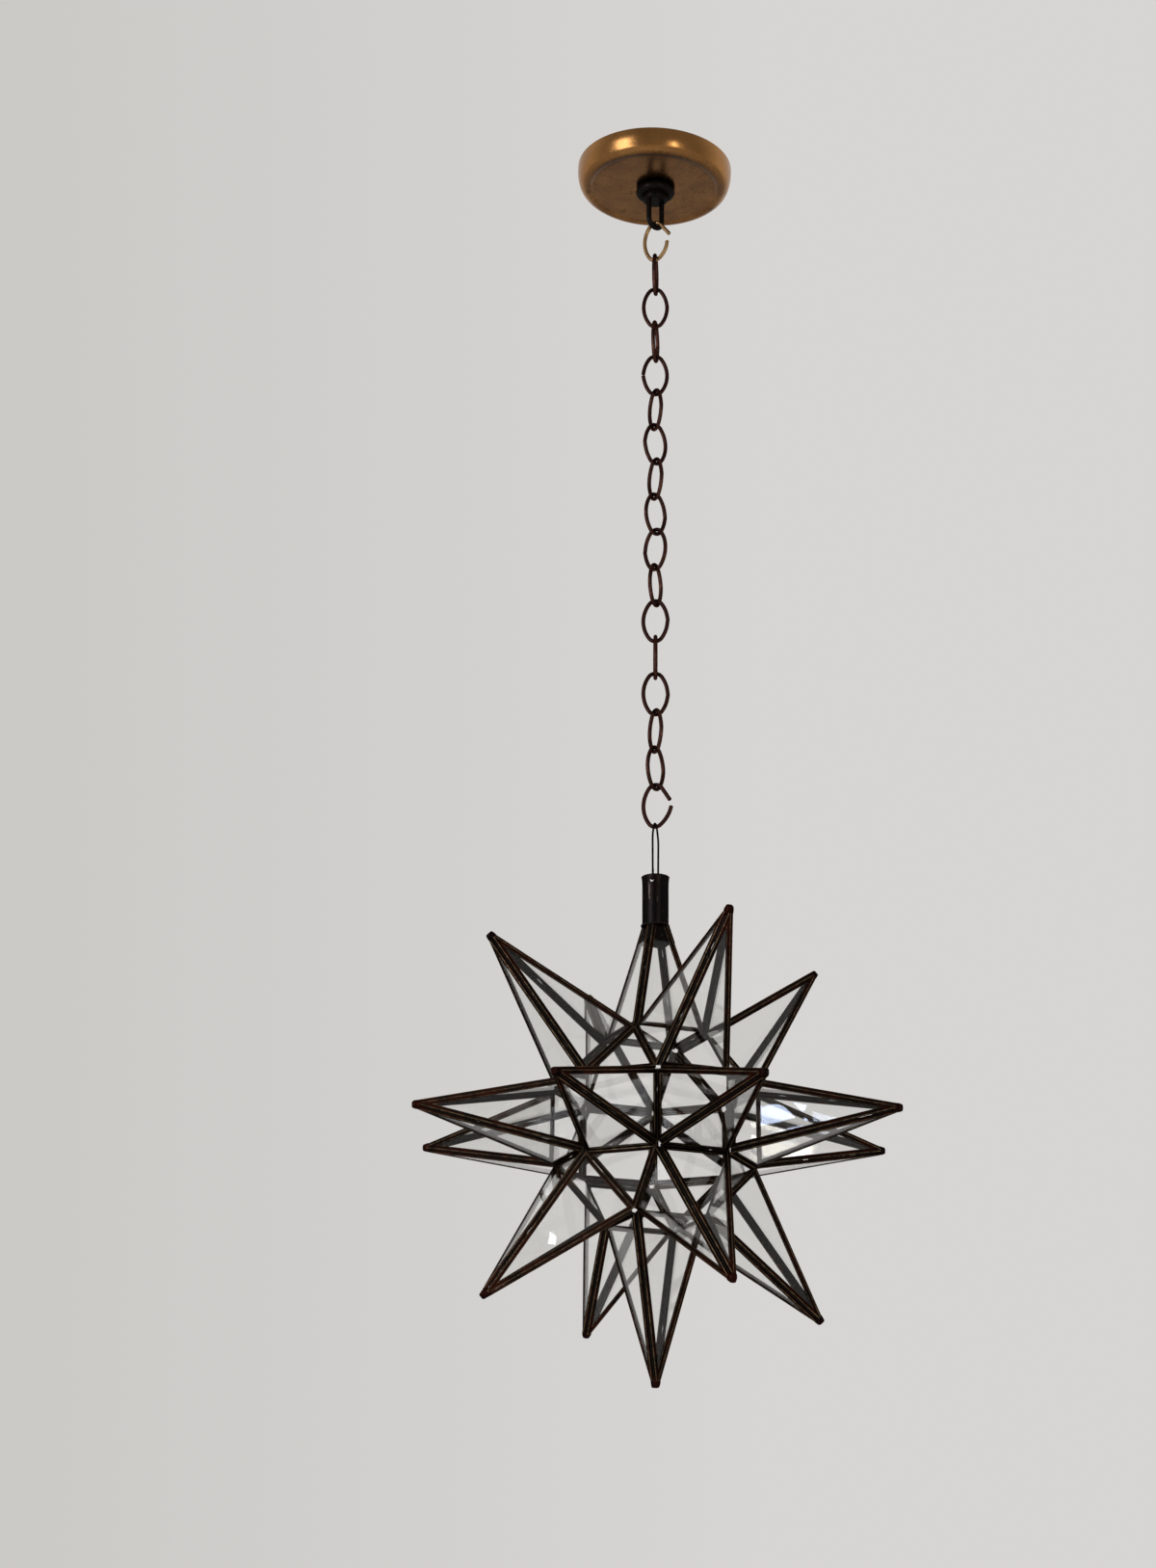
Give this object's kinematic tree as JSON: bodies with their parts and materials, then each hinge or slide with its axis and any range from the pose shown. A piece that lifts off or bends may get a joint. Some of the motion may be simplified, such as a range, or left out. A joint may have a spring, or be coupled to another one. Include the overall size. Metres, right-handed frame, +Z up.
{
  "type": "pendant light",
  "caption": "Many-pointed star of clear glass panes in dark metal edging, hung by a thin wire hoop on a chain from a domed brass ceiling canopy.",
  "frame": {"origin": "on the ceiling plane, at the middle of the canopy and of the strap's two screw holes", "axes": "+Z up, out of the ceiling fitting into the ceiling; -Y towards the viewer, who sees a belt point 22.5 degrees to each side; +X to the viewer's right, along the strap"},
  "size_m": [0.354, 0.354, 1.0045],
  "materials": {
    "canopy_brass": "aged lacquered brass, spun, mottled brown",
    "zinc_plated_steel": "zinc plated",
    "dark_fitting": "blackened brass, satin",
    "link_brass": "worn brass plate on wire",
    "antique_copper": "antique copper plate on steel wire, dark brown",
    "black_wire": "black wire, satin",
    "tube_patina": "dark brown-black patina, semi-gloss",
    "came_patina": "black patina with bright worn edges",
    "solder_patina": "solder under black patina, uneven",
    "clear_glass": "clear, polished"
  },
  "bodies": {
    "canopy": {"ceiling_canopy": "canopy_brass", "mounting_strap": "zinc_plated_steel", "threaded_nipple": "zinc_plated_steel", "strap_locknut": "zinc_plated_steel", "collar_ring": "dark_fitting", "canopy_loop": "dark_fitting"},
    "link_01": {"chain_link_01": "link_brass"},
    "link_02": {"chain_link_02": "antique_copper"},
    "link_03": {"chain_link_03": "antique_copper"},
    "link_04": {"chain_link_04": "antique_copper"},
    "link_05": {"chain_link_05": "antique_copper"},
    "link_06": {"chain_link_06": "antique_copper"},
    "link_07": {"chain_link_07": "antique_copper"},
    "link_08": {"chain_link_08": "antique_copper"},
    "link_09": {"chain_link_09": "antique_copper"},
    "link_10": {"chain_link_10": "antique_copper"},
    "link_11": {"chain_link_11": "antique_copper"},
    "link_12": {"chain_link_12": "antique_copper"},
    "link_13": {"chain_link_13": "antique_copper"},
    "link_14": {"chain_link_14": "antique_copper"},
    "link_15": {"chain_link_15": "antique_copper"},
    "link_16": {"chain_link_16": "antique_copper"},
    "link_17": {"chain_link_17": "antique_copper"},
    "hanger": {"hanger_wire": "black_wire"},
    "star": {"cap_tube": "tube_patina", "cap_boot": "tube_patina", "point_top_frame": "came_patina", "point_bottom_frame": "came_patina", "point_upper_1_frame": "came_patina", "point_upper_2_frame": "came_patina", "point_upper_3_frame": "came_patina", "point_upper_4_frame": "came_patina", "point_lower_1_frame": "came_patina", "point_lower_2_frame": "came_patina", "point_lower_3_frame": "came_patina", "point_lower_4_frame": "came_patina", "point_belt_1_frame": "came_patina", "point_belt_2_frame": "came_patina", "point_belt_3_frame": "came_patina", "point_belt_4_frame": "came_patina", "point_belt_5_frame": "came_patina", "point_belt_6_frame": "came_patina", "point_belt_7_frame": "came_patina", "point_belt_8_frame": "came_patina", "corner_pane_frames": "came_patina", "glass_top": "clear_glass", "glass_upper": "clear_glass", "glass_belt": "clear_glass", "glass_lower": "clear_glass", "glass_bottom": "clear_glass", "glass_corners": "clear_glass", "tip_solder_caps": "solder_patina", "ridge_solder": "solder_patina", "valley_solder": "solder_patina"}
  },
  "joints": [
    {"name": "link_01_swing", "type": "hinge", "parent": "canopy", "child": "link_01", "pos_m": [0, 0, -0.05685], "axis": [0.766, 0.6428, 0], "range_deg": [-75, 75]},
    {"name": "link_02_swing", "type": "hinge", "parent": "link_01", "child": "link_02", "pos_m": [0, 0, -0.08705], "axis": [-0.9063, 0.4226, 0], "range_deg": [-75, 75]},
    {"name": "link_03_swing", "type": "hinge", "parent": "link_02", "child": "link_03", "pos_m": [0, 0, -0.11775], "axis": [-0.1392, -0.9903, 0], "range_deg": [-75, 75]},
    {"name": "link_04_swing", "type": "hinge", "parent": "link_03", "child": "link_04", "pos_m": [0, 0, -0.14845], "axis": [1, 0, 0], "range_deg": [-75, 75]},
    {"name": "link_05_swing", "type": "hinge", "parent": "link_04", "child": "link_05", "pos_m": [0, 0, -0.17915], "axis": [0.2079, 0.9781, 0], "range_deg": [-75, 75]},
    {"name": "link_06_swing", "type": "hinge", "parent": "link_05", "child": "link_06", "pos_m": [0, 0, -0.20985], "axis": [-0.9986, -0.0523, 0], "range_deg": [-75, 75]},
    {"name": "link_07_swing", "type": "hinge", "parent": "link_06", "child": "link_07", "pos_m": [0, 0, -0.24055], "axis": [-0.4695, 0.8829, 0], "range_deg": [-75, 75]},
    {"name": "link_08_swing", "type": "hinge", "parent": "link_07", "child": "link_08", "pos_m": [0, 0, -0.27125], "axis": [-0.866, -0.5, 0], "range_deg": [-75, 75]},
    {"name": "link_09_swing", "type": "hinge", "parent": "link_08", "child": "link_09", "pos_m": [0, 0, -0.30195], "axis": [0.5, -0.866, 0], "range_deg": [-75, 75]},
    {"name": "link_10_swing", "type": "hinge", "parent": "link_09", "child": "link_10", "pos_m": [0, 0, -0.33265], "axis": [0.7986, 0.6018, 0], "range_deg": [-75, 75]},
    {"name": "link_11_swing", "type": "hinge", "parent": "link_10", "child": "link_11", "pos_m": [0, 0, -0.36335], "axis": [-0.829, 0.5592, 0], "range_deg": [-75, 75]},
    {"name": "link_12_swing", "type": "hinge", "parent": "link_11", "child": "link_12", "pos_m": [0, 0, -0.39405], "axis": [-0.4695, -0.8829, 0], "range_deg": [-75, 75]},
    {"name": "link_13_swing", "type": "hinge", "parent": "link_12", "child": "link_13", "pos_m": [0, 0, -0.42475], "axis": [0.9903, -0.1392, 0], "range_deg": [-75, 75]},
    {"name": "link_14_swing", "type": "hinge", "parent": "link_13", "child": "link_14", "pos_m": [0, 0, -0.45545], "axis": [0, -1, 0], "range_deg": [-75, 75]},
    {"name": "link_15_swing", "type": "hinge", "parent": "link_14", "child": "link_15", "pos_m": [0, 0, -0.48615], "axis": [-0.9994, -0.0349, 0], "range_deg": [-75, 75]},
    {"name": "link_16_swing", "type": "hinge", "parent": "link_15", "child": "link_16", "pos_m": [0, 0, -0.51685], "axis": [-0.454, 0.891, 0], "range_deg": [-75, 75]},
    {"name": "link_17_swing", "type": "hinge", "parent": "link_16", "child": "link_17", "pos_m": [0, 0, -0.54755], "axis": [-0.6428, -0.766, 0], "range_deg": [-75, 75]},
    {"name": "hanger_swing", "type": "hinge", "parent": "link_17", "child": "hanger", "pos_m": [0, 0, -0.57825], "axis": [0.9659, -0.2588, 0], "range_deg": [-75, 75]},
    {"name": "star_swing", "type": "hinge", "parent": "hanger", "child": "star", "pos_m": [0, 0, -0.62305], "axis": [0.2924, 0.9563, 0], "range_deg": [-35, 35]}
  ]
}
